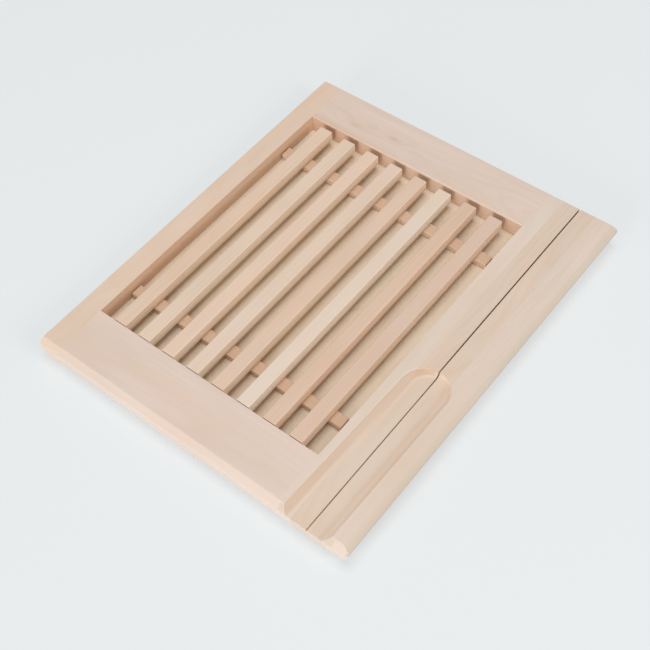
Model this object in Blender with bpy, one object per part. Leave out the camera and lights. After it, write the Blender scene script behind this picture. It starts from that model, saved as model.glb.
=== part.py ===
"""Slatted bread-cutting board: a wooden frame round a crumb pocket, with a lift-out grate of slats,
a saw-kerf knife slot and a scooped trough for the knife's handle.

Frame of reference: metres, +Z up, the board lying on its underside.  The origin is the middle of the
underside.  X runs from the plain left edge to the rounded right edge beside the knife slot, and Y
runs from the chamfered front to the back.
"""

import math

import bmesh
import bpy
from mathutils import Matrix

MM = 0.001

# Driving dimensions ---------------------------------------------------------------------------

BOARD_WIDTH = 323 * MM
BOARD_DEPTH = 386 * MM
BOARD_HEIGHT = 22.5 * MM

GAP = 0.3 * MM                      # clearance left between pieces that touch
ARRIS = 0.8 * MM                    # rounding of the grate's sanded edges

STILE_WIDTH = 20.5 * MM             # left-hand stile
FRONT_RAIL_DEPTH = 54 * MM
BACK_RAIL_DEPTH = 46 * MM
POCKET_WIDTH = 234 * MM
POCKET_DEEP = 17.1 * MM             # from the board's top to the pocket's floor
INNER_STILE_WIDTH = 14.4 * MM
SLOT_STAVE_WIDTH = 31.7 * MM

CHAMFER_RUN = 6 * MM                # front chamfer, measured along Y
CHAMFER_DROP = 4 * MM               # front chamfer, measured along Z
FRONT_LEAN = 3 * MM                 # the front face leans in by this much at the underside
EDGE_EASE = 1 * MM                  # back edge and left edge
BACK_RIM_EASE = 1 * MM              # back rim of the pocket

ROUND_RUN = 10.1 * MM               # right-hand round-over, measured along X
ROUND_DROP = 4.5 * MM
NOSE_RADIUS = 3 * MM                # rounding below the round-over, down to the undercut
UNDERCUT_LEAN = 26                  # the undercut's lean, in degrees from upright
CORNER_RADIUS = 3.5 * MM            # front right corner, seen from above

REBATE_LAP = 8 * MM                 # how far the floor panel reaches under the frame
PANEL_THICKNESS = 5.1 * MM

KERF_X = 285.0 * MM                 # knife slot, from the board's left edge
KERF_WIDTH = 1.3 * MM
KERF_DEEP = 16.5 * MM
KERF_LIP = 1.2 * MM                 # what the slot still bites into the trough's floor at the front face
SAW_RADIUS = 100 * MM               # the saw blade whose curve the slot keeps near the front

TROUGH_DEEP = 5.0 * MM
TROUGH_LEFT = 259.5 * MM            # rims at the front edge
TROUGH_RIGHT = 305.3 * MM
TROUGH_END = 171.2 * MM             # how far back the trough reaches
TROUGH_END_RADIUS = 21.6 * MM       # plan radius of its round end
TROUGH_END_X = 285.3 * MM           # middle of that end
TROUGH_COVE = 11.2 * MM             # width of the hollow along the sides
TROUGH_END_COVE = 5.0 * MM          # width of the hollow at the end

SLAT_COUNT = 8
SLAT_PITCH = 27 * MM
SLAT_WIDTH = 13.1 * MM
SLAT_LENGTH = 280 * MM
SLAT_HEIGHT = 10.3 * MM
FIRST_SLAT_X = 35.7 * MM            # left side of the first slat
SLAT_FRONT_Y = 54.5 * MM

BAR_LENGTH = 228 * MM
BAR_DEPTH = 11.5 * MM
BAR_X = 21.3 * MM                   # left end of both crossbars
BAR_CENTRES = {"front": 93.7 * MM, "back": 297.7 * MM}

BRAD_RADIUS = 0.8 * MM
BRAD_HEAD_RADIUS = 1.5 * MM
BRAD_HEAD_HEIGHT = 0.8 * MM
BRAD_BITE = 6 * MM                  # how far a brad reaches into its slat

DOWEL_RADIUS = 3 * MM
DOWEL_IN_RAIL = 15 * MM
DOWEL_IN_STILE = {"left": 13 * MM, "right": 10.5 * MM}
DOWEL_CENTRES = {                   # distances from the board's front
    "front_outer": 18 * MM,
    "front_inner": 40 * MM,
    "back_inner": 354 * MM,
    "back_outer": 373 * MM,
}

# Derived sizes --------------------------------------------------------------------------------

LEFT = -BOARD_WIDTH / 2
FRONT = -BOARD_DEPTH / 2
TOP = BOARD_HEIGHT

POCKET_FLOOR = TOP - POCKET_DEEP
REBATE_CEILING = POCKET_FLOOR + GAP
POCKET_FRONT = FRONT_RAIL_DEPTH
POCKET_BACK = BOARD_DEPTH - BACK_RAIL_DEPTH
POCKET_RIGHT = STILE_WIDTH + POCKET_WIDTH
SLOT_STAVE_X = POCKET_RIGHT + INNER_STILE_WIDTH
OUTER_RAIL_X = SLOT_STAVE_X + SLOT_STAVE_WIDTH

SLAT_BASE = TOP - SLAT_HEIGHT
BAR_BASE = POCKET_FLOOR + GAP
BAR_HEIGHT = SLAT_BASE - GAP - BAR_BASE

BRAD_HEAD_BASE = BAR_BASE + GAP
BRAD_HEAD_TOP = BRAD_HEAD_BASE + BRAD_HEAD_HEIGHT
BRAD_TIP = SLAT_BASE + BRAD_BITE
DOWEL_Z = BOARD_HEIGHT / 2

BEECH = {
    "left_stile": (0.716, 0.552, 0.434),
    "inner_stile": (0.730, 0.590, 0.480),
    "slot_stave": (0.701, 0.564, 0.440),
    "outer_rail": (0.730, 0.604, 0.515),
    "front_rail": (0.723, 0.578, 0.485),
    "back_rail": (0.701, 0.564, 0.474),
    "floor_panel": (0.693, 0.558, 0.434),
    "crossbar": (0.617, 0.413, 0.287),
    "dowel": (0.640, 0.470, 0.340),
}
SLAT_COLOURS = [
    (0.723, 0.552, 0.423),
    (0.745, 0.578, 0.451),
    (0.753, 0.571, 0.451),
    (0.738, 0.584, 0.462),
    (0.723, 0.533, 0.407),
    (0.753, 0.617, 0.503),
    (0.716, 0.509, 0.381),
    (0.701, 0.515, 0.402),
]
STEEL = (0.55, 0.55, 0.56)

LYING_ALONG_X = Matrix.Rotation(math.pi / 2, 3, "Y")    # lays an upright rod down along +X


# Helpers --------------------------------------------------------------------------------------

def make_material(name, colour, roughness, metallic=0.0):
    """Give a piece its own Principled material."""
    material = bpy.data.materials.new(name)
    material.use_nodes = True
    shader = material.node_tree.nodes["Principled BSDF"]
    shader.inputs["Base Color"].default_value = (*colour, 1.0)
    shader.inputs["Roughness"].default_value = roughness
    shader.inputs["Metallic"].default_value = metallic
    return material


def mesh_from(name, bm, smooth=False):
    """Turn a bmesh into a mesh whose faces point outwards."""
    bmesh.ops.recalc_face_normals(bm, faces=bm.faces)
    mesh = bpy.data.meshes.new(name)
    bm.to_mesh(mesh)
    bm.free()
    if smooth:
        smooth_rounds(mesh)
    return mesh


def smooth_rounds(mesh):
    """Shade the round stretches smooth and keep the crisp edges crisp."""
    mesh.shade_smooth()
    mesh.set_sharp_from_angle(angle=math.radians(30))


def place(name, mesh, parent=None, location=(0, 0, 0)):
    """Put a mesh into the scene as a named piece."""
    piece = bpy.data.objects.new(name, mesh)
    bpy.context.scene.collection.objects.link(piece)
    piece.parent = parent
    piece.location = location
    return piece


def empty_at(name, location):
    """Make the empty that carries a group of pieces."""
    empty = bpy.data.objects.new(name, None)
    empty.empty_display_size = 20 * MM
    empty.location = location
    bpy.context.scene.collection.objects.link(empty)
    return empty


def prism(outline, axis, length):
    """Sweep a flat outline along X (points are y, z) or along Y (points are x, z)."""
    bm = bmesh.new()
    if axis == "X":
        corners = [bm.verts.new((0, u, v)) for u, v in outline]
        sweep = (length, 0, 0)
    else:
        corners = [bm.verts.new((u, 0, v)) for u, v in outline]
        sweep = (0, length, 0)
    face = bm.faces.new(corners)
    grown = bmesh.ops.extrude_face_region(bm, geom=[face])
    far_side = [item for item in grown["geom"] if isinstance(item, bmesh.types.BMVert)]
    bmesh.ops.translate(bm, verts=far_side, vec=sweep)
    return bm


def box(low, high, ease=0.0):
    """Make a block between two corners, with softened edges if ease is given."""
    bm = bmesh.new()
    bmesh.ops.create_cube(bm, size=1.0)
    for vert in bm.verts:
        for k in range(3):
            vert.co[k] = low[k] if vert.co[k] < 0 else high[k]
    if ease:
        bmesh.ops.bevel(bm, geom=bm.edges[:], offset=ease, segments=3, profile=0.5, affect="EDGES")
    return bm


def turned(profile, sides):
    """Turn a closed profile of (radius, z) points, from axis to axis, about Z."""
    bm = bmesh.new()
    points = [bm.verts.new((radius, 0, z)) for radius, z in profile]
    edges = [bm.edges.new(pair) for pair in zip(points, points[1:])]
    bmesh.ops.spin(bm, geom=points + edges, cent=(0, 0, 0), axis=(0, 0, 1),
                   angle=2 * math.pi, steps=sides, use_merge=True)
    bmesh.ops.remove_doubles(bm, verts=bm.verts, dist=0.001 * MM)
    return bm


def rod(radius, length, sides, ease=0.0):
    """Make a plain or softened round rod standing on the origin."""
    profile = [(0, 0), (radius - ease, 0), (radius, ease), (radius, length - ease),
               (radius - ease, length), (0, length)]
    if not ease:
        profile = [(0, 0), (radius, 0), (radius, length), (0, length)]
    return turned(profile, sides)


def arc(centre, radii, start, end, steps):
    """Points along an elliptical arc, from the start angle to the end angle in degrees."""
    points = []
    for k in range(steps + 1):
        angle = math.radians(start + (end - start) * k / steps)
        points.append((centre[0] + radii[0] * math.cos(angle), centre[1] + radii[1] * math.sin(angle)))
    return points


def add_shape(bm, other, rotation=None, offset=(0, 0, 0)):
    """Add the faces of one bmesh to another, turned and moved into place."""
    mesh = bpy.data.meshes.new("scratch")
    if rotation:
        bmesh.ops.rotate(other, verts=other.verts, cent=(0, 0, 0), matrix=rotation)
    bmesh.ops.translate(other, verts=other.verts, vec=offset)
    other.to_mesh(mesh)
    other.free()
    bm.from_mesh(mesh)
    bpy.data.meshes.remove(mesh)


def combine(piece, tool_mesh, operation="DIFFERENCE", smooth=False):
    """Cut a tool shape, given in world coordinates, out of a piece, or intersect the two."""
    tool = place("tool", tool_mesh)
    modifier = piece.modifiers.new("cut", "BOOLEAN")
    modifier.operation = operation
    modifier.solver = "EXACT"
    modifier.object = tool
    depsgraph = bpy.context.evaluated_depsgraph_get()
    result = bpy.data.meshes.new_from_object(piece.evaluated_get(depsgraph))
    piece.modifiers.clear()
    piece.data = result
    bpy.data.objects.remove(tool)
    if smooth:
        smooth_rounds(result)


# Tool shapes that several pieces share ----------------------------------------------------------

def side_profile():
    """Outline of the board seen from its side, as (y, z) points from the front."""
    back_ease = arc((BOARD_DEPTH - EDGE_EASE, TOP - EDGE_EASE), (EDGE_EASE, EDGE_EASE), 90, 0, 3)
    return [
        (FRONT_LEAN, 0),
        (0, TOP - CHAMFER_DROP),
        (CHAMFER_RUN, TOP),
        *back_ease,
        (BOARD_DEPTH, 0),
    ]


def panel_rebate():
    """The recess under the frame that takes the floor panel."""
    low = (LEFT + STILE_WIDTH - REBATE_LAP, FRONT + POCKET_FRONT - REBATE_LAP, -1 * MM)
    high = (LEFT + POCKET_RIGHT + REBATE_LAP, FRONT + POCKET_BACK + REBATE_LAP, REBATE_CEILING)
    return mesh_from("rebate_tool", box(low, high))


def kerf():
    """The saw cut for the knife's blade: open at the back, and rising in the blade's curve at the front."""
    overrun = 5 * MM                # the tool stands this far out behind the board and above it
    rise = KERF_DEEP - TROUGH_DEEP - KERF_LIP
    sweep = math.degrees(math.acos(1 - rise / SAW_RADIUS))
    blade_y = SAW_RADIUS * math.sin(math.radians(sweep))
    blade = (blade_y, SAW_RADIUS - KERF_DEEP)
    curve = arc(blade, (SAW_RADIUS, SAW_RADIUS), -90 - sweep, -90, 12)
    outline = [*curve, (BOARD_DEPTH + overrun, -KERF_DEEP), (BOARD_DEPTH + overrun, overrun),
               (-overrun, overrun), (-overrun, curve[0][1])]
    bm = prism(outline, "X", KERF_WIDTH)
    bmesh.ops.translate(bm, verts=bm.verts, vec=(LEFT + KERF_X - KERF_WIDTH / 2, FRONT, TOP))
    return mesh_from("kerf_tool", bm)


def hollow(width, depth, steps):
    """Points (inset, z) of the hollow that runs from a rim down to the trough's floor."""
    radius = (width ** 2 + depth ** 2) / (2 * depth)
    sweep = math.asin(min(1.0, width / radius))
    points = []
    for k in range(steps + 1):
        angle = sweep * (1 - k / steps)
        points.append((width - radius * math.sin(angle), radius * (1 - math.cos(angle)) - depth))
    return points


def trough():
    """The scooped trough round the front half of the knife slot."""
    steps = 8
    end_steps = 12
    lift = 2 * MM                   # the tool stands this far above the board
    overrun = 3 * MM                # and this far out in front of it
    end_y = TROUGH_END - TROUGH_END_RADIUS
    front_middle = (TROUGH_LEFT + TROUGH_RIGHT) / 2
    front_half = (TROUGH_RIGHT - TROUGH_LEFT) / 2

    def station(y, middle, half, inset_x, inset_y, cove):
        """One row of points down the left side of the tool, and its mirror image."""
        rows = []
        for side in (-1, 1):
            row = [(middle + side * half, y, lift)]
            for inset, z in hollow(cove, TROUGH_DEEP, steps):
                row.append((middle + side * (half - inset * inset_x), y - inset * inset_y, z))
            rows.append(row)
        return rows

    stations = []
    for y in (-overrun, 0, end_y):
        share = y / end_y
        middle = front_middle + (TROUGH_END_X - front_middle) * share
        half = front_half + (TROUGH_END_RADIUS - front_half) * share
        stations.append(station(y, middle, half, 1, 0, TROUGH_COVE))
    for k in range(1, end_steps):
        turn = math.pi / 2 * k / end_steps
        cove = TROUGH_END_COVE + (TROUGH_COVE - TROUGH_END_COVE) * math.cos(turn) ** 2
        stations.append(station(end_y + TROUGH_END_RADIUS * math.sin(turn), TROUGH_END_X,
                                TROUGH_END_RADIUS * math.cos(turn), math.cos(turn), math.sin(turn), cove))
    tip = station(TROUGH_END, TROUGH_END_X, 0, 0, 1, TROUGH_END_COVE)[0]

    bm = bmesh.new()

    def corner(point):
        return bm.verts.new((LEFT + point[0], FRONT + point[1], TOP + point[2]))

    grid = [[[corner(point) for point in row] for row in pair] for pair in stations]
    tip_row = [corner(point) for point in tip]
    for near, far in zip(grid, grid[1:]):
        for side in (0, 1):
            for k in range(steps + 1):
                bm.faces.new((near[side][k], near[side][k + 1], far[side][k + 1], far[side][k]))
        bm.faces.new((near[0][-1], near[1][-1], far[1][-1], far[0][-1]))
        bm.faces.new((near[0][0], near[1][0], far[1][0], far[0][0]))
    last = grid[-1]
    for side in (0, 1):
        for k in range(steps + 1):
            bm.faces.new((last[side][k], last[side][k + 1], tip_row[k + 1], tip_row[k]))
    bm.faces.new((last[0][-1], last[1][-1], tip_row[-1]))
    bm.faces.new((last[0][0], last[1][0], tip_row[0]))
    bm.faces.new(grid[0][0] + grid[0][1][::-1])
    return mesh_from("trough_tool", bm)


def dowel_places():
    """Name, left end (x), centre (y) and length of each frame dowel, measured from the board's corner."""
    places = []
    for side, in_stile in DOWEL_IN_STILE.items():
        for row, y in DOWEL_CENTRES.items():
            if side == "left":
                start = STILE_WIDTH - in_stile
            else:
                start = POCKET_RIGHT - DOWEL_IN_RAIL
            places.append((f"dowel_{side}_{row}", start, y, in_stile + DOWEL_IN_RAIL))
    return places


def dowel_holes():
    """All the dowel holes in one tool, a little longer and wider than the dowels."""
    bm = bmesh.new()
    for _name, x, y, length in dowel_places():
        hole = rod(DOWEL_RADIUS + GAP, length + 2 * GAP, 16)
        add_shape(bm, hole, LYING_ALONG_X, (LEFT + x - GAP, FRONT + y, DOWEL_Z))
    return mesh_from("dowel_hole_tool", bm)


# Frame of the board -----------------------------------------------------------------------------

def finish_frame_piece(piece, colour_name=None):
    """Give a frame piece its wood and smooth its rounded stretches."""
    colour = BEECH[colour_name or piece.name]
    smooth_rounds(piece.data)
    piece.data.materials.clear()
    piece.data.materials.append(make_material(piece.name, colour, 0.6))


def build_left_stile(board):
    """Plain outer stile, softened along its outside edges."""
    bm = prism(side_profile(), "X", STILE_WIDTH - GAP / 2)
    outside = [edge for edge in bm.edges if all(abs(vert.co.x) < 1e-6 for vert in edge.verts)]
    bmesh.ops.bevel(bm, geom=outside, offset=EDGE_EASE, segments=2, profile=0.5, affect="EDGES")
    piece = place("left_stile", mesh_from("left_stile", bm), board, (LEFT, FRONT, 0))
    bpy.context.view_layer.update()
    combine(piece, panel_rebate())
    combine(piece, dowel_holes())
    finish_frame_piece(piece)


def build_inner_stile(board):
    """Stile between the pocket and the knife slot; the trough's left rim runs along it."""
    bm = prism(side_profile(), "X", INNER_STILE_WIDTH - GAP)
    location = (LEFT + POCKET_RIGHT + GAP / 2, FRONT, 0)
    piece = place("inner_stile", mesh_from("inner_stile", bm), board, location)
    bpy.context.view_layer.update()
    combine(piece, panel_rebate())
    combine(piece, dowel_holes())
    combine(piece, trough())
    finish_frame_piece(piece)


def build_slot_stave(board):
    """Stave that holds the knife slot and the middle of the trough."""
    bm = prism(side_profile(), "X", SLOT_STAVE_WIDTH - GAP)
    location = (LEFT + SLOT_STAVE_X + GAP / 2, FRONT, 0)
    piece = place("slot_stave", mesh_from("slot_stave", bm), board, location)
    bpy.context.view_layer.update()
    combine(piece, trough())
    combine(piece, kerf())
    finish_frame_piece(piece)


def build_outer_rail(board):
    """Outer rail with the rounded and undercut right-hand edge."""
    overrun = 0.5 * MM              # the tool stands this far out beside the rail
    inner = OUTER_RAIL_X + GAP / 2
    nose_z = TOP - ROUND_DROP
    round_over = arc((BOARD_WIDTH - ROUND_RUN, nose_z), (ROUND_RUN, ROUND_DROP), 90, 0, 8)
    nose = arc((BOARD_WIDTH - NOSE_RADIUS, nose_z), (NOSE_RADIUS, NOSE_RADIUS), 0, -UNDERCUT_LEAN, 3)
    foot_x = nose[-1][0] - nose[-1][1] * math.tan(math.radians(UNDERCUT_LEAN))
    outline = [(inner, 0), (inner, TOP), *round_over, *nose[1:], (foot_x, 0)]
    bm = prism(outline, "Y", BOARD_DEPTH)
    piece = place("outer_rail", mesh_from("outer_rail", bm), board, (LEFT, FRONT, 0))
    bpy.context.view_layer.update()
    length = BOARD_WIDTH - SLOT_STAVE_X + overrun
    sides = prism(side_profile(), "X", length)
    corner = [edge for edge in sides.edges
              if all(vert.co.x > length - 1e-6 and vert.co.y < CHAMFER_RUN + 1e-6 for vert in edge.verts)
              and min(vert.co.y for vert in edge.verts) < CHAMFER_RUN - 1e-6
              and max(vert.co.z for vert in edge.verts) > 1e-6]
    bmesh.ops.bevel(sides, geom=corner, offset=CORNER_RADIUS + overrun, segments=5, profile=0.5,
                    affect="EDGES")
    bmesh.ops.translate(sides, verts=sides.verts, vec=(LEFT + SLOT_STAVE_X, FRONT, 0))
    combine(piece, mesh_from("side_tool", sides), "INTERSECT")
    combine(piece, trough())
    finish_frame_piece(piece)


def build_front_rail(board):
    """Wide front rail, between the stiles, with the front chamfer and the panel's rebate."""
    outline = [
        (FRONT_LEAN, 0),
        (0, TOP - CHAMFER_DROP),
        (CHAMFER_RUN, TOP),
        (POCKET_FRONT, TOP),
        (POCKET_FRONT, REBATE_CEILING),
        (POCKET_FRONT - REBATE_LAP, REBATE_CEILING),
        (POCKET_FRONT - REBATE_LAP, 0),
    ]
    build_rail("front_rail", outline, board)


def build_back_rail(board):
    """Back rail, between the stiles, its pocket rim softened."""
    rim = arc((POCKET_BACK + BACK_RIM_EASE, TOP - BACK_RIM_EASE), (BACK_RIM_EASE, BACK_RIM_EASE), 180, 90, 4)
    back_ease = arc((BOARD_DEPTH - EDGE_EASE, TOP - EDGE_EASE), (EDGE_EASE, EDGE_EASE), 90, 0, 3)
    outline = [
        (POCKET_BACK + REBATE_LAP, 0),
        (POCKET_BACK + REBATE_LAP, REBATE_CEILING),
        (POCKET_BACK, REBATE_CEILING),
        *rim,
        *back_ease,
        (BOARD_DEPTH, 0),
    ]
    build_rail("back_rail", outline, board)


def build_rail(name, outline, board):
    """Sweep a rail's outline between the stiles and drill it for its dowels."""
    bm = prism(outline, "X", POCKET_WIDTH - GAP)
    piece = place(name, mesh_from(name, bm), board, (LEFT + STILE_WIDTH + GAP / 2, FRONT, 0))
    bpy.context.view_layer.update()
    combine(piece, dowel_holes())
    finish_frame_piece(piece)


def build_floor_panel(board):
    """Thin panel let into the frame from below; its top is the pocket's floor."""
    width = POCKET_WIDTH + 2 * REBATE_LAP - 2 * GAP
    depth = POCKET_BACK - POCKET_FRONT + 2 * REBATE_LAP - 2 * GAP
    mesh = mesh_from("floor_panel", box((0, 0, -PANEL_THICKNESS), (width, depth, 0)))
    location = (LEFT + STILE_WIDTH - REBATE_LAP + GAP, FRONT + POCKET_FRONT - REBATE_LAP + GAP, POCKET_FLOOR)
    piece = place("floor_panel", mesh, board, location)
    mesh.materials.append(make_material(piece.name, BEECH["floor_panel"], 0.65))


def build_dowels(board):
    """Round dowels across the four corners of the frame."""
    material = make_material("dowel_wood", BEECH["dowel"], 0.7)
    for name, x, y, length in dowel_places():
        bm = rod(DOWEL_RADIUS, length, 16, ease=0.5 * MM)
        bmesh.ops.rotate(bm, verts=bm.verts, cent=(0, 0, 0), matrix=LYING_ALONG_X)
        mesh = mesh_from(name, bm, smooth=True)
        mesh.materials.append(material.copy())
        place(name, mesh, board, (LEFT + x, FRONT + y, DOWEL_Z))


# Grate --------------------------------------------------------------------------------------------

def brad_places():
    """Each brad's name and its place (x, y) from the board's front left corner."""
    places = []
    for bar, y in BAR_CENTRES.items():
        for number in range(SLAT_COUNT):
            x = FIRST_SLAT_X + SLAT_PITCH * number + SLAT_WIDTH / 2
            places.append((f"brad_{bar}_{number + 1}", x, y))
    return places


def build_slats(grate, origin):
    """Square slats, all from one pattern with blind holes for the brads."""
    low = (-SLAT_WIDTH / 2, 0, 0)
    high = (SLAT_WIDTH / 2, SLAT_LENGTH, SLAT_HEIGHT)
    pattern = place("pattern", mesh_from("slat", box(low, high, ARRIS)))
    holes = bmesh.new()
    for y in BAR_CENTRES.values():
        hole = rod(BRAD_RADIUS + GAP, BRAD_BITE + GAP + 1 * MM, 12)
        add_shape(holes, hole, None, (0, y - SLAT_FRONT_Y, -1 * MM))
    combine(pattern, mesh_from("slat_hole_tool", holes))
    for number in range(SLAT_COUNT):
        mesh = pattern.data.copy()
        smooth_rounds(mesh)
        x = LEFT + FIRST_SLAT_X + SLAT_PITCH * number + SLAT_WIDTH / 2
        location = (x - origin[0], FRONT + SLAT_FRONT_Y - origin[1], SLAT_BASE - origin[2])
        piece = place(f"slat_{number + 1}", mesh, grate, location)
        mesh.materials.clear()
        mesh.materials.append(make_material(piece.name, SLAT_COLOURS[number], 0.6))
    bpy.data.objects.remove(pattern)


def build_crossbars(grate, origin):
    """The two crossbars that the slats are fixed on, drilled and counterbored for the brads."""
    for bar, y in BAR_CENTRES.items():
        low = (0, -BAR_DEPTH / 2, 0)
        high = (BAR_LENGTH, BAR_DEPTH / 2, BAR_HEIGHT)
        mesh = mesh_from(f"crossbar_{bar}", box(low, high, ARRIS))
        location = (LEFT + BAR_X - origin[0], FRONT + y - origin[1], BAR_BASE - origin[2])
        piece = place(f"crossbar_{bar}", mesh, grate, location)
        bpy.context.view_layer.update()
        holes = bmesh.new()
        for name, x, brad_y in brad_places():
            if bar in name:
                shank = rod(BRAD_RADIUS + GAP, BAR_HEIGHT + 2 * MM, 12)
                add_shape(holes, shank, None, (LEFT + x, FRONT + brad_y, BAR_BASE - 1 * MM))
        combine(piece, mesh_from("shank_hole_tool", holes))
        heads = bmesh.new()
        for name, x, brad_y in brad_places():
            if bar in name:
                head = rod(BRAD_HEAD_RADIUS + GAP, BRAD_HEAD_TOP + GAP - BAR_BASE + 1 * MM, 16)
                add_shape(heads, head, None, (LEFT + x, FRONT + brad_y, BAR_BASE - 1 * MM))
        combine(piece, mesh_from("head_hole_tool", heads))
        smooth_rounds(piece.data)
        piece.data.materials.clear()
        piece.data.materials.append(make_material(piece.name, BEECH["crossbar"], 0.65))


def build_brads(grate, origin):
    """Steel brads driven up through the crossbars into the slats."""
    material = make_material("brad_steel", STEEL, 0.35, 1.0)
    length = BRAD_TIP - BRAD_HEAD_BASE
    point = 1.5 * MM
    profile = [
        (0, 0),
        (BRAD_HEAD_RADIUS, 0),
        (BRAD_HEAD_RADIUS, BRAD_HEAD_HEIGHT),
        (BRAD_RADIUS, BRAD_HEAD_HEIGHT),
        (BRAD_RADIUS, length - point),
        (0, length),
    ]
    for name, x, y in brad_places():
        mesh = mesh_from(name, turned(profile, 12), smooth=True)
        mesh.materials.append(material.copy())
        location = (LEFT + x - origin[0], FRONT + y - origin[1], BRAD_HEAD_BASE - origin[2])
        place(name, mesh, grate, location)


def main():
    """Clear the scene and build the board and its grate."""
    for old in list(bpy.data.objects):
        bpy.data.objects.remove(old)

    board = empty_at("board", (0, 0, 0))
    build_left_stile(board)
    build_inner_stile(board)
    build_slot_stave(board)
    build_outer_rail(board)
    build_front_rail(board)
    build_back_rail(board)
    build_floor_panel(board)
    build_dowels(board)

    grate_middle_x = LEFT + BAR_X + BAR_LENGTH / 2
    grate_middle_y = FRONT + SLAT_FRONT_Y + SLAT_LENGTH / 2
    origin = (grate_middle_x, grate_middle_y, BAR_BASE)
    grate = empty_at("grate_lift", origin)
    bpy.context.view_layer.update()
    build_slats(grate, origin)
    build_crossbars(grate, origin)
    build_brads(grate, origin)


main()
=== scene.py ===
"""Looks of the slatted bread-cutting board: softened edges, beech with real grain, and a soft studio.

Metres, +Z up, in the CAD model's frame.  Every visible wooden piece is a refined copy of its CAD node.
"""

import math
import random

import bmesh
import bpy
from mathutils import Euler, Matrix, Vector


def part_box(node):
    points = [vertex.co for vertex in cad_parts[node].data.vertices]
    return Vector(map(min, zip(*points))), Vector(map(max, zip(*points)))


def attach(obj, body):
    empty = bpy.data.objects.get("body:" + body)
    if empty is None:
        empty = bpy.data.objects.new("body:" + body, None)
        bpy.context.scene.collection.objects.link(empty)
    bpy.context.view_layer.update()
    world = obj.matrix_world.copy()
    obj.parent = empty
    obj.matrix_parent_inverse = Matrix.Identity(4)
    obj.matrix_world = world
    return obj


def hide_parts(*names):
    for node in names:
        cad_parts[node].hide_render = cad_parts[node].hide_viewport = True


MM = 0.001

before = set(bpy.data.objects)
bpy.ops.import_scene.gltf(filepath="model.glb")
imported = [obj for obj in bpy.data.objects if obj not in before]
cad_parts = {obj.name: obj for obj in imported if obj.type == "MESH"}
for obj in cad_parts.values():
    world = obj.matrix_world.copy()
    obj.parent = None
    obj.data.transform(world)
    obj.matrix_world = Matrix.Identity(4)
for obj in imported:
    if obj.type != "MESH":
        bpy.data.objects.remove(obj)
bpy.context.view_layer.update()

STILES = ("left_stile", "inner_stile")
STAVES = ("slot_stave", "outer_rail")
RAILS = ("front_rail", "back_rail")
TROUGH_SIDES = ("inner_stile", "slot_stave", "outer_rail")
SLATS = [f"slat_{number}" for number in range(1, 9)]
CROSSBARS = ("crossbar_front", "crossbar_back")
DOWELS = [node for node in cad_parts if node.startswith("dowel_")]
BRADS = [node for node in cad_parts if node.startswith("brad_")]

ARRIS = 0.50 * MM                   # rounding of the frame's sanded edges
FRONT_ARRIS = 1.0 * MM              # the same along the chamfered front
FRONT_BAND = 7 * MM                 # how far behind the front those edges lie
FRONT_LOW = 10 * MM                 # and the lowest of them
GLUE_ARRIS = 0.18 * MM              # the fine groove at a glue line
GLUE_LOW = 5 * MM                   # glue lines nearer the table than this stay closed
ARRIS_SEGMENTS = 3
GLUE_GAP = 0.3 * MM                 # what the CAD pieces leave between glued faces
REBATE_LAP = 8 * MM                 # how far the pocket's floor reaches under the frame
CRISP = math.radians(25)            # an edge that turns more than this is an edge to soften
SMOOTH = math.radians(40)           # faces that turn less than this are shaded as one round
FLAT = math.radians(0.4)            # faces that turn less than this are one flat face
SAME_POINT = 0.002 * MM
SAME_PLANE = 0.02 * MM

KERF_MIDDLE = 123.5 * MM            # the knife slot, one saw cut
KERF_WIDTH = 1.3 * MM
KERF_FLOOR_BELOW = 7 * MM           # the slot's floor lies under this height
KERF_FLOOR_ABOVE = 1 * MM

# The trough's hollow sides, which take painted light and shade:
TROUGH_MIDDLE = 121.5               # a box round the trough's hollow sides, in millimetres
TROUGH_HALF = 26.0
TROUGH_BACK = -15.0
TROUGH_RIM = (0.1, 0.5)             # depths over which the hollow's tint comes in under the rim
TROUGH_FOOT = (4.95, 3.6)           # and goes out again towards the trough's floor

CAMERA_PLACE = (0.41196, -0.47687, 0.81577)
CAMERA_TURN = (36.418, 2.640, 38.209)   # degrees
CAMERA_LENS = 66.18

FLOOR_HALF = 20.0
FLOOR_CELLS = 40
FLOOR_DROP = 0.02 * MM              # keeps the table just clear of the board's underside


# Studio -----------------------------------------------------------------------------------------

def make_camera():
    """A camera high up beyond the front right corner, where the photographer stood."""
    data = bpy.data.cameras.new("camera")
    data.lens = CAMERA_LENS
    data.sensor_width = 36.0
    data.clip_start = 0.01
    data.clip_end = 50.0
    camera = bpy.data.objects.new("camera", data)
    camera.location = CAMERA_PLACE
    camera.rotation_euler = Euler([math.radians(angle) for angle in CAMERA_TURN])
    bpy.context.scene.collection.objects.link(camera)
    bpy.context.scene.camera = camera


def make_light(name, place, size, power):
    """A square white soft box that looks at the board."""
    data = bpy.data.lights.new(name, "AREA")
    data.shape = "SQUARE"
    data.size = size
    data.energy = power
    light = bpy.data.objects.new(name, data)
    light.location = place
    light.rotation_euler = (-Vector(place)).to_track_quat("-Z", "Y").to_euler()
    bpy.context.scene.collection.objects.link(light)


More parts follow.
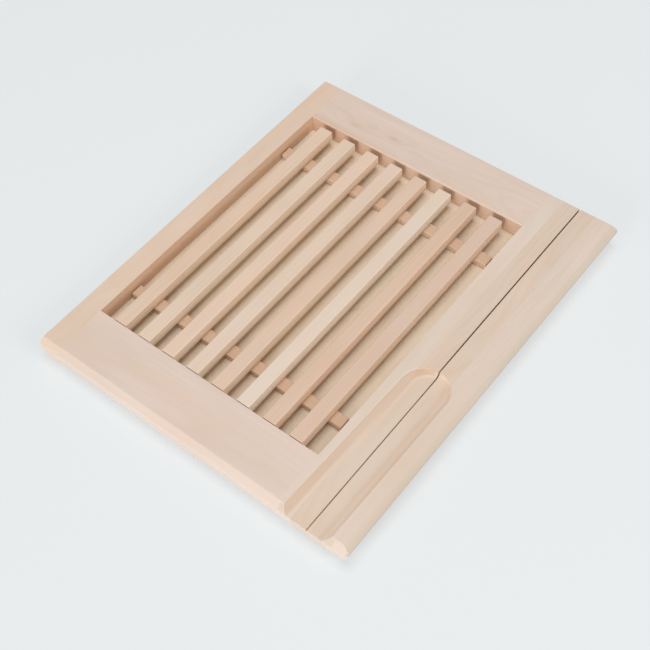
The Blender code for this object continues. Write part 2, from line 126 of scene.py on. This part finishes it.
def make_studio():
    """White tent: an even dome, soft boxes overhead, in front and to the right, and a pale lit floor."""
    scene = bpy.context.scene
    scene.view_settings.view_transform = "Standard"
    world = bpy.data.worlds.new("tent")
    scene.world = world
    world.use_nodes = True
    backdrop = world.node_tree.nodes["Background"]
    backdrop.inputs["Color"].default_value = (1.0, 1.0, 1.0, 1.0)
    backdrop.inputs["Strength"].default_value = 0.365
    make_light("overhead_softbox", (0, 0, 3.0), 1.6, 38.9)
    make_light("front_softbox", (0, -3.38, 0.906), 1.4, 57.2)
    make_light("side_softbox", (2.598, 0, 1.5), 1.2, 29.1)

    bm = bmesh.new()
    bmesh.ops.create_grid(bm, x_segments=FLOOR_CELLS, y_segments=FLOOR_CELLS, size=FLOOR_HALF)
    mesh = bpy.data.meshes.new("floor")
    bm.to_mesh(mesh)
    bm.free()
    floor = bpy.data.objects.new("floor", mesh)
    floor.location = (0, 0, -FLOOR_DROP)
    scene.collection.objects.link(floor)
    paper = bpy.data.materials.new("paper")
    paper.use_nodes = True
    shader = paper.node_tree.nodes["Principled BSDF"]
    shader.inputs["Base Color"].default_value = (0.33, 0.33, 0.33, 1.0)
    shader.inputs["Roughness"].default_value = 0.9
    shader.inputs["Specular IOR Level"].default_value = 0.1
    shader.inputs["Emission Color"].default_value = (0.925, 0.98, 1.0, 1.0)
    shader.inputs["Emission Strength"].default_value = 0.498
    mesh.materials.append(paper)


# Beech ------------------------------------------------------------------------------------------

class Graph:
    """Short calls for building a node tree."""

    def __init__(self, tree):
        self.tree = tree

    def node(self, kind, **settings):
        made = self.tree.nodes.new(kind)
        for name, value in settings.items():
            setattr(made, name, value)
        return made

    def feed(self, socket, value):
        """Link a socket to another one, or set its value."""
        if isinstance(value, bpy.types.NodeSocket):
            self.tree.links.new(value, socket)
        else:
            socket.default_value = value

    def math(self, operation, a, b=0.0, c=0.0, clamp=False):
        made = self.node("ShaderNodeMath", operation=operation, use_clamp=clamp)
        for socket, value in zip(made.inputs, (a, b, c)):
            self.feed(socket, value)
        return made.outputs[0]

    def vector(self, operation, a, b=(0, 0, 0)):
        made = self.node("ShaderNodeVectorMath", operation=operation)
        self.feed(made.inputs[0], a)
        self.feed(made.inputs[1], b)
        return made.outputs["Value" if operation in ("DOT_PRODUCT", "LENGTH", "DISTANCE") else "Vector"]

    def join(self, x, y, z):
        made = self.node("ShaderNodeCombineXYZ")
        for socket, value in zip(made.inputs, (x, y, z)):
            self.feed(socket, value)
        return made.outputs[0]

    def noise(self, place, detail=2.0, roughness=0.5):
        """Noise around zero, from about -0.5 to 0.5, at one cell to the unit."""
        made = self.node("ShaderNodeTexNoise", noise_dimensions="3D")
        self.feed(made.inputs["Vector"], place)
        made.inputs["Scale"].default_value = 1.0
        made.inputs["Detail"].default_value = detail
        made.inputs["Roughness"].default_value = roughness
        return self.math("SUBTRACT", made.outputs["Fac"], 0.5)

    def cells(self, place, along, across):
        """A place counted in cells so many millimetres long and wide, for a texture to fill."""
        return self.vector("MULTIPLY", place, (1 / along, 1 / across, 1 / across))

    def ramp(self, value, low, high):
        """Smooth step from 0 to 1 as the value goes from low to high."""
        made = self.node("ShaderNodeMapRange", interpolation_type="SMOOTHSTEP")
        for name, setting in (("Value", value), ("From Min", low), ("From Max", high)):
            self.feed(made.inputs[name], setting)
        return made.outputs["Result"]

    def mix(self, share, a, b):
        made = self.node("ShaderNodeMix", data_type="RGBA")
        self.feed(made.inputs["Factor"], share)
        self.feed(made.inputs["A"], a)
        self.feed(made.inputs["B"], b)
        return made.outputs["Result"]


def spot(g, grain, centre, reach):
    """1 at a place on the piece and 0 beyond its reach: (along, across) in millimetres.

    It goes right through the piece's thickness.
    """
    away = g.vector("SUBTRACT", grain, (*centre, 0))
    away = g.vector("DIVIDE", away, (*reach, 1e6))
    return g.ramp(g.vector("LENGTH", away), 1.0, 0.0)


def hollowed(g, x, y, z):
    """1 on the hollow sides of the trough and 0 elsewhere; x, y and z are in millimetres."""
    depth = g.math("SUBTRACT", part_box("slot_stave")[1].z / MM, z)
    inside = g.math("MULTIPLY", g.ramp(depth, *TROUGH_RIM), g.ramp(depth, *TROUGH_FOOT))
    aside = g.math("ABSOLUTE", g.math("SUBTRACT", x, TROUGH_MIDDLE))
    inside = g.math("MULTIPLY", inside, g.math("LESS_THAN", aside, TROUGH_HALF))
    return g.math("MULTIPLY", inside, g.math("LESS_THAN", y, TROUGH_BACK))


def dyed(tone, tint):
    """A tone multiplied by a tint, as a colour with its alpha."""
    return (*(one * other for one, other in zip(tone, tint)), 1)


def year_rings(g, grain, wander, seed, pith, ring, figure, marks):
    """0 in the pale early wood of each year, and up to about 1 in its thin dark late wood."""
    sway = g.math("MULTIPLY", g.noise(g.cells(wander, 170, 60), 2.0), 26.0 * figure)
    swirl = 0.0
    for centre, reach, _tint, strength in marks:
        if strength > 0.5:
            bend = spot(g, grain, centre, [2.2 * length for length in reach])
            swirl = g.math("ADD", swirl, g.math("MULTIPLY", bend, 9.0))
    spread = g.node("ShaderNodeSeparateXYZ")
    g.feed(spread.inputs[0], grain)
    across = g.math("ADD", g.math("SUBTRACT", spread.outputs[1], pith[0]), swirl)
    depth = g.math("ADD", g.math("SUBTRACT", spread.outputs[2], pith[1]), sway)
    square = g.math("ADD", g.math("MULTIPLY", across, across), g.math("MULTIPLY", depth, depth))
    ripple = g.noise(g.cells(wander, 30, 6), 3.0)
    count = g.math("ADD", g.math("DIVIDE", g.math("SQRT", square), ring), g.math("MULTIPLY", ripple, 0.7))
    phase = g.math("FRACT", count)
    late = g.math("MULTIPLY", g.ramp(phase, 0.35, 0.93), g.ramp(phase, 1.0, 0.95))
    year = g.noise(g.join(g.math("FLOOR", count), 7.3, float(seed)), 0.0)
    return g.math("MULTIPLY", late, g.math("ADD", year, 0.75))


def ray_flecks(g, wander):
    """1 on beech's short brown flecks and 0 between them."""
    flecks = g.node("ShaderNodeTexVoronoi", feature="F1")
    g.feed(flecks.inputs["Vector"], g.cells(wander, 2.6, 0.75))
    flecks.inputs["Scale"].default_value = 1.0
    chosen = g.node("ShaderNodeSeparateXYZ")
    g.feed(chosen.inputs[0], flecks.outputs["Color"])
    return g.math("MULTIPLY", g.ramp(flecks.outputs["Distance"], 0.30, 0.12),
                  g.math("GREATER_THAN", chosen.outputs[0], 0.55))


def beech(name, along, tone, seed, pith=(8, -60), ring=2.6, figure=1.0, marks=(), painted_facings=(), scoop_shading=(),
          roughness=0.56):
    """Beech for one piece.

    along is the grain's axis; pith is where the tree's centre lies, in millimetres across and up; ring
    is a year's growth in millimetres, and figure says how strongly the years show; marks are (centre,
    reach, tint, strength) of streaks, knots, patches of tone and painted shade, along and across the
    grain in millimetres; painted_facings are (direction, tint) of painted light and shade on faces that
    turn that way; scoop_shading is the same painted light and shade, over the cut's warmer tone, for the
    trough's hollow sides.
    """
    rng = random.Random(seed)
    material = bpy.data.materials.new(name)
    material.use_nodes = True
    g = Graph(material.node_tree)
    shader = material.node_tree.nodes["Principled BSDF"]

    place = g.vector("MULTIPLY", g.node("ShaderNodeTexCoord").outputs["Object"], (1000, 1000, 1000))
    parts = g.node("ShaderNodeSeparateXYZ")
    g.feed(parts.inputs[0], place)
    x, y, z = parts.outputs
    grain = g.join(y, x, z) if along == "Y" else g.join(x, y, z)
    wander = g.vector("ADD", grain, tuple(rng.uniform(-900, 900) for _ in range(3)))

    latewood = year_rings(g, grain, wander, seed, pith, ring, figure, marks)
    fleck = ray_flecks(g, wander)
    fibre = g.noise(g.cells(wander, 9, 0.35), 3.0, 0.6)
    streak = g.noise(g.cells(wander, 140, 3.5), 3.0, 0.55)
    cloud = g.noise(g.cells(wander, 90, 28), 2.0)
    blush = g.noise(g.cells(wander, 75, 20), 1.0)

    axis = (0, 1, 0) if along == "Y" else (1, 0, 0)
    normal = g.node("ShaderNodeTexCoord").outputs["Normal"]
    end_grain = g.ramp(g.math("ABSOLUTE", g.vector("DOT_PRODUCT", normal, axis)), 0.6, 0.95)
    arris = g.node("ShaderNodeAttribute", attribute_name="arris").outputs["Fac"]

    light = dyed(tone, (1.035, 1.05, 1.07))
    dark = dyed(tone, (0.955, 0.925, 0.885))
    late = dyed(tone, (0.90, 0.835, 0.76))
    brown = dyed(tone, (0.80, 0.68, 0.56))
    # painted highlight on the rounded edges
    edge_highlight = dyed(tone, (1.04, 1.06, 1.08))
    value = g.math("ADD", g.math("MULTIPLY", cloud, 1.5), g.math("MULTIPLY", streak, 0.7))
    value = g.math("ADD", value, g.math("MULTIPLY", fibre, 0.3))
    colour = g.mix(g.math("ADD", value, 0.5, clamp=True), dark, light)
    colour = g.mix(g.math("MULTIPLY_ADD", blush, 1.7, 0.5, clamp=True),
                   g.vector("MULTIPLY", colour, (1.02, 0.985, 0.965)),
                   g.vector("MULTIPLY", colour, (0.985, 1.015, 1.03)))
    colour = g.mix(g.math("MULTIPLY", latewood, 0.33 * figure), colour, late)
    colour = g.mix(g.math("MULTIPLY", fleck, 0.30), colour, brown)
    for centre, reach, tint, strength in marks:
        patch = g.math("MULTIPLY", spot(g, grain, centre, reach),
                       g.math("ADD", g.math("MULTIPLY", streak, 1.6), strength), clamp=True)
        colour = g.mix(patch, colour, dyed(tone, tint))
    colour = g.mix(g.math("MULTIPLY", end_grain, 0.42), colour, late)
    # painted light and shade: faces turned one way take a tint
    for direction, tint in painted_facings:
        painted_share = g.ramp(g.vector("DOT_PRODUCT", normal, direction), 0.5, 0.9)
        colour = g.mix(painted_share, colour, g.vector("MULTIPLY", colour, tint))
    # painted light and shade on the trough's hollow sides, by which way they face
    for direction, tint in scoop_shading:
        painted_share = g.math("MULTIPLY", g.ramp(g.vector("DOT_PRODUCT", normal, direction), 0.0, 0.3),
                        hollowed(g, x, y, z))
        colour = g.mix(painted_share, colour, g.vector("MULTIPLY", colour, tint))
    # painted highlight: the rounded edges paler, as if catching the light
    colour = g.mix(g.math("MULTIPLY", arris, 0.5), colour, edge_highlight)
    g.feed(shader.inputs["Base Color"], colour)

    rough = g.math("ADD", g.math("MULTIPLY", fibre, 0.12), roughness)
    rough = g.math("SUBTRACT", rough, g.math("MULTIPLY", fleck, 0.08))
    rough = g.math("ADD", rough, g.math("MULTIPLY", end_grain, 0.12))
    rough = g.math("SUBTRACT", rough, g.math("MULTIPLY", arris, 0.06))
    g.feed(shader.inputs["Roughness"], rough)
    shader.inputs["Specular IOR Level"].default_value = 0.35

    height = g.math("SUBTRACT", g.math("MULTIPLY", fibre, 0.9), g.math("MULTIPLY", fleck, 0.5))
    height = g.math("SUBTRACT", height, g.math("MULTIPLY", latewood, 0.12))
    bump = g.node("ShaderNodeBump")
    bump.inputs["Strength"].default_value = 0.55
    bump.inputs["Distance"].default_value = 0.035 * MM
    g.feed(bump.inputs["Height"], height)
    g.feed(shader.inputs["Normal"], bump.outputs[0])
    return material


# Refined pieces ---------------------------------------------------------------------------------

def merged(node):
    """The CAD node's mesh with its split corners joined and its flat faces whole."""
    bm = bmesh.new()
    bm.from_mesh(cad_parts[node].data)
    bmesh.ops.remove_doubles(bm, verts=bm.verts, dist=SAME_POINT)
    bmesh.ops.dissolve_limit(bm, angle_limit=FLAT, verts=bm.verts, edges=bm.edges)
    bmesh.ops.recalc_face_normals(bm, faces=bm.faces)
    return bm


def stretch_to(bm, at, to):
    """Carry the vertices on the plane x = at along their own edges to the plane x = to."""
    moves = []
    for vert in bm.verts:
        if abs(vert.co.x - at) > SAME_PLANE:
            continue
        others = [edge.other_vert(vert).co for edge in vert.link_edges]
        others = [co for co in others if abs(co.x - at) > SAME_PLANE]
        if others:
            far = max(others, key=lambda co: abs(co.x - at) / max((co - vert.co).length, 1e-9))
            step = (vert.co - far) * ((to - at) / (at - far.x))
        else:
            step = Vector((to - at, 0, 0))
        moves.append((vert, step))
    for vert, step in moves:
        vert.co += step


def cut_across(bm, y):
    """Give the piece an edge all round at this y, without changing its shape."""
    geometry = bm.verts[:] + bm.edges[:] + bm.faces[:]
    bmesh.ops.bisect_plane(bm, geom=geometry, dist=SAME_POINT / 2, plane_co=(0, y, 0), plane_no=(0, 1, 0))


def soften(bm, seams):
    """Round the piece's crisp edges, and mark the new faces in the layer "arris".

    seams are (x, y ranges, shows) of the piece's glued faces: one that shows gets a fine groove, and
    one that doesn't stays closed.
    """
    layer = bm.faces.layers.float.new("arris")
    chamfered = min(vert.co.y for vert in bm.verts) + FRONT_BAND
    plain = []
    front = []
    fine = []
    for edge in bm.edges:
        if len(edge.link_faces) != 2 or edge.calc_face_angle() < CRISP:
            continue
        middle = (edge.verts[0].co + edge.verts[1].co) / 2
        kind = "plain"
        for x, ranges, shows in seams:
            in_plane = all(abs(vert.co.x - x) < SAME_PLANE for vert in edge.verts)
            if in_plane and any(low <= middle.y <= high for low, high in ranges):
                kind = "fine" if shows else "closed"
        if kind == "plain" and middle.y < chamfered and middle.z > FRONT_LOW:
            front.append(edge)
        elif kind == "plain":
            plain.append(edge)
        elif kind == "fine" and middle.z > GLUE_LOW:
            fine.append(edge)
    for edges, width in ((front, FRONT_ARRIS), (plain, ARRIS), (fine, GLUE_ARRIS)):
        edges = [edge for edge in edges if edge.is_valid]
        if edges:
            made = bmesh.ops.bevel(bm, geom=edges, offset=width, segments=ARRIS_SEGMENTS, profile=0.5,
                                   affect="EDGES", clamp_overlap=True)
            for face in made["faces"]:
                face[layer] = 1.0


def press_down(bm, top):
    """Bring back what a stretched edge has carried above the board's top."""
    for vert in bm.verts:
        vert.co.z = min(vert.co.z, top)


def shade(mesh):
    """Shade rounds smooth and flat faces flat: each corner leans towards its largest neighbours."""
    around = [[] for _vert in mesh.vertices]
    for face in mesh.polygons:
        for index in face.vertices:
            around[index].append(face)
    normals = []
    for face in mesh.polygons:
        for index in face.vertices:
            total = Vector((0, 0, 0))
            for other in around[index]:
                if other.normal.dot(face.normal) > math.cos(SMOOTH):
                    total += other.normal * other.area
            normals.append(total.normalized())
    mesh.shade_smooth()
    mesh.normals_split_custom_set(normals)


def shown(name, bm, material, body, node):
    """Turn a refined bmesh into a visible piece that stands for its CAD node."""
    mesh = bpy.data.meshes.new(name)
    bm.to_mesh(mesh)
    bm.free()
    shade(mesh)
    piece = bpy.data.objects.new(name, mesh)
    bpy.context.scene.collection.objects.link(piece)
    mesh.materials.append(material)
    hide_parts(node)
    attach(piece, body)
    return piece


# Tones of the wood, piece by piece, as linear colours.
TONES = {
    "left_stile": (0.720, 0.559, 0.440),
    "inner_stile": (0.700, 0.582, 0.488),
    "slot_stave": (0.680, 0.544, 0.438),
    "outer_rail": (0.705, 0.590, 0.505),
    "front_rail": (0.704, 0.569, 0.485),
    "back_rail": (0.701, 0.562, 0.476),
    # painted light: the pocket's floor paler than the wood around it, lifting the shade under the slats
    "floor_panel": (0.800, 0.678, 0.530),
    "crossbar_front": (0.680, 0.472, 0.325),
    "crossbar_back": (0.700, 0.500, 0.360),
    "slat_1": (0.721, 0.547, 0.421),
    "slat_2": (0.728, 0.577, 0.458),
    "slat_3": (0.748, 0.575, 0.456),
    "slat_4": (0.728, 0.582, 0.469),
    "slat_5": (0.703, 0.525, 0.404),
    "slat_6": (0.740, 0.610, 0.503),
    "slat_7": (0.685, 0.497, 0.374),
    "slat_8": (0.676, 0.501, 0.390),
}

# Painted light and shade: tints that make faces which turn another way than a piece's top lighter,
# darker or warmer, standing in for how light falls on them and bounces between them.
# painted shade: the warm cast of the shaded pocket walls, lit only by light bounced off the wood
POCKET_WALL_SHADE = (1.06, 0.965, 0.87)
# painted light: the front face paler and cooler, as lit from the front
FRONT_FACE_LIGHT = (1.08, 1.17, 1.24)
FRONT_END_LIGHT = (1.14, 1.26, 1.38)      # the same face where it shows end grain
# painted shade: the rounded right edge of the board darker
ROUND_OVER_SHADE = (0.87, 0.88, 0.85)
ROUND_OVER_TURN = (0.857, 0, 0.514)
# painted light: slat sides and undersides paler, lifting the shade between and under the slats
SLAT_SIDE_LIGHT = (1.16, 1.19, 1.18)
SLAT_UNDERSIDE_LIGHT = (1.20, 1.30, 1.40)
# painted light: the crossbars' front faces paler, lifting their shade under the slats
BAR_FACE_LIGHT = (1.02, 1.08, 1.15)
# painted shade on the trough's left and end coves and painted light on its right cove, over the cut
# wood's warmer tone
SCOOP_SHADING = [
    ((1, 0, 0), (0.88, 0.80, 0.73)),
    ((-1, 0, 0), (1.15, 1.10, 1.05)),
    ((0, -1, 0), (0.93, 0.90, 0.87)),
]

# How strongly the growth rings show.
FIGURE = {
    "left_stile": 0.8,
    "inner_stile": 0.6,
    "slot_stave": 0.8,
    "outer_rail": 0.7,
    "front_rail": 0.45,
    "back_rail": 0.9,
}

# Where the tree's centre lies, in millimetres across and up in the board.
PITH = {
    "left_stile": (-150, -70),
    "inner_stile": (70, -120),
    "slot_stave": (150, -60),
    "outer_rail": (190, -45),
    "front_rail": (-190, -55),
    "back_rail": (150, -38),
}

# Streaks, knots, slow changes of tone and a band of painted shade: (along, across), reach, tint and
# strength.
MARKS = {
    "back_rail": [
        ((-40, 184), (150, 18), (1.05, 1.09, 1.12), 0.5),
        # painted shade: a darker, warmer band along the left part of the pocket's back rim
        ((-125, 149), (110, 7.5), (0.92, 0.74, 0.60), 0.5),
        ((-99, 162.5), (17, 6.5), (0.93, 0.88, 0.83), 0.9),
        ((-58, 167), (15, 6), (0.93, 0.88, 0.83), 0.9),
        ((-101, 161), (6, 2), (0.88, 0.79, 0.70), 0.9),
        ((-61, 168), (6, 2), (0.86, 0.76, 0.66), 0.9),
    ],
    "front_rail": [
        ((68, -172), (22, 5), (0.95, 0.90, 0.85), 0.4),
        ((-141, -175), (75, 40), (0.97, 0.94, 0.90), 0.8),
    ],
    "outer_rail": [
        ((-110, 150), (140, 24), (0.97, 0.915, 0.85), 0.9),
        ((-105, 150), (60, 3.5), (0.98, 0.90, 0.80), 0.45),
    ],
    "left_stile": [((-5, -159), (9, 0.8), (0.90, 0.84, 0.76), 0.5)],
    "slot_stave": [
        ((93, 139.0), (3.4, 0.5), (0.62, 0.50, 0.40), 0.5),
        ((-110, 123), (95, 22), (1.0, 1.02, 1.035), 0.8),
    ],
}

# Which of a piece's faces take one of the painted light and shade tints above.
PAINTED_FACINGS = {
    "left_stile": [((1, 0, 0), POCKET_WALL_SHADE), ((0, -1, 0), FRONT_END_LIGHT)],
    "inner_stile": [((-1, 0, 0), POCKET_WALL_SHADE), ((0, -1, 0), FRONT_END_LIGHT)],
    "slot_stave": [((0, -1, 0), FRONT_END_LIGHT)],
    "outer_rail": [((0, -1, 0), FRONT_END_LIGHT), (ROUND_OVER_TURN, ROUND_OVER_SHADE)],
    "front_rail": [((0, 1, 0), POCKET_WALL_SHADE), ((0, -1, 0), FRONT_FACE_LIGHT)],
    "back_rail": [((0, -1, 0), POCKET_WALL_SHADE)],
}


def build_frame():
    """The board's frame: six pieces glued into one, with hardly a joint to be seen."""
    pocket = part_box("floor_panel")
    half_gap = GLUE_GAP / 2
    front = pocket[0].y + REBATE_LAP - GLUE_GAP
    back = pocket[1].y - REBATE_LAP + GLUE_GAP
    joints = {
        "left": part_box("left_stile")[1].x + half_gap,
        "inner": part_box("inner_stile")[0].x - half_gap,
        "slot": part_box("slot_stave")[0].x - half_gap,
        "outer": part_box("outer_rail")[0].x - half_gap,
    }
    everywhere = [(-1, 1)]
    beside_rails = [(-1, front), (back, 1)]
    seams = {
        "left_stile": [(joints["left"], beside_rails, False)],
        "inner_stile": [(joints["inner"], beside_rails, False), (joints["slot"], everywhere, True)],
        "slot_stave": [(x, everywhere, True) for x in (joints["slot"], joints["outer"],
                                                       KERF_MIDDLE - KERF_WIDTH / 2,
                                                       KERF_MIDDLE + KERF_WIDTH / 2)],
        "outer_rail": [(joints["outer"], everywhere, True)],
        "front_rail": [(joints["left"], everywhere, False), (joints["inner"], everywhere, False)],
        "back_rail": [(joints["left"], everywhere, False), (joints["inner"], everywhere, False)],
    }
    for seed, node in enumerate((*STILES, *STAVES, *RAILS), start=11):
        bm = merged(node)
        low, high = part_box(node)
        for x in joints.values():
            for side in (low.x, high.x):
                if abs(side - x) < GLUE_GAP:
                    stretch_to(bm, side, x)
        if node in STILES:
            cut_across(bm, front)
            cut_across(bm, back)
        soften(bm, seams[node])
        press_down(bm, high.z)
        along = "X" if node in RAILS else "Y"
        wood = beech(f"beech_{node}", along, TONES[node], seed, PITH[node], figure=FIGURE[node],
                     marks=MARKS.get(node, ()), painted_facings=PAINTED_FACINGS[node],
                     scoop_shading=SCOOP_SHADING if node in TROUGH_SIDES else ())
        piece = shown(f"{node}_wood", bm, wood, "board", node)
        if node == "slot_stave":
            darken_kerf(piece)


def darken_kerf(piece):
    """The inside of the knife slot is browner, and much paler where it runs through the trough."""
    brown = beech("beech_sawn", "Y", (0.62, 0.45, 0.31), 31, (150, -60), roughness=0.75,
                  # paler where the slot runs through the trough
                  marks=[((-120, 123.5), (160, 9), (1.50, 1.76, 2.05), 1.8)])
    piece.data.materials.append(brown)
    for face in piece.data.polygons:
        height = face.center.z
        inside = abs(face.center.x - KERF_MIDDLE) < 0.6 * KERF_WIDTH and height > KERF_FLOOR_ABOVE
        if inside and (abs(face.normal.x) > 0.99 or height < KERF_FLOOR_BELOW):
            face.material_index = 1


def build_panel():
    """The pocket's floor."""
    bm = merged("floor_panel")
    wood = beech("beech_floor_panel", "Y", TONES["floor_panel"], 21, (40, -90), ring=3.4, figure=0.8)
    shown("floor_panel_wood", bm, wood, "board", "floor_panel")


def build_grate():
    """Eight slats on two crossbars."""
    # painted light on the slats' sides and undersides
    painted_facings = [((1, 0, 0), SLAT_SIDE_LIGHT), ((-1, 0, 0), SLAT_SIDE_LIGHT), ((0, 0, -1), SLAT_UNDERSIDE_LIGHT)]
    for number, node in enumerate(SLATS):
        rng = random.Random(100 + number)
        pith = (rng.uniform(-130, 130), rng.choice((-1, 1)) * rng.uniform(30, 90))
        wood = beech(f"beech_{node}", "Y", TONES[node], 41 + number, pith, ring=rng.uniform(2.0, 3.2),
                     painted_facings=painted_facings)
        shown(f"{node}_wood", merged(node), wood, "grate", node)
    for number, node in enumerate(CROSSBARS):
        wood = beech(f"beech_{node}", "X", TONES[node], 61 + number, (60, -50), ring=2.2,
                     painted_facings=[((0, -1, 0), BAR_FACE_LIGHT)])
        shown(f"{node}_wood", merged(node), wood, "grate", node)


def build_hidden():
    """Dowels of beech and brads of steel wire, which keep their CAD shapes."""
    dowel = beech("beech_dowel", "X", (0.640, 0.470, 0.340), 71)
    for node in DOWELS:
        give(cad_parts[node], dowel)
    steel = bpy.data.materials.new("brad_wire")
    steel.use_nodes = True
    g = Graph(steel.node_tree)
    shader = steel.node_tree.nodes["Principled BSDF"]
    shader.inputs["Metallic"].default_value = 1.0
    place = g.vector("MULTIPLY", g.node("ShaderNodeTexCoord").outputs["Object"], (2500, 2500, 900))
    grime = g.noise(place, 3.0)
    dull = (0.42, 0.41, 0.40, 1)
    bright = (0.66, 0.66, 0.67, 1)
    g.feed(shader.inputs["Base Color"], g.mix(g.math("ADD", grime, 0.5), dull, bright))
    g.feed(shader.inputs["Roughness"], g.math("ADD", g.math("MULTIPLY", grime, 0.3), 0.38))
    for node in BRADS:
        give(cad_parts[node], steel)


def give(piece, material):
    """Put one material on every slot of a CAD piece."""
    for place in piece.material_slots:
        place.material = material


make_camera()
make_studio()
build_frame()
build_panel()
build_grate()
build_hidden()
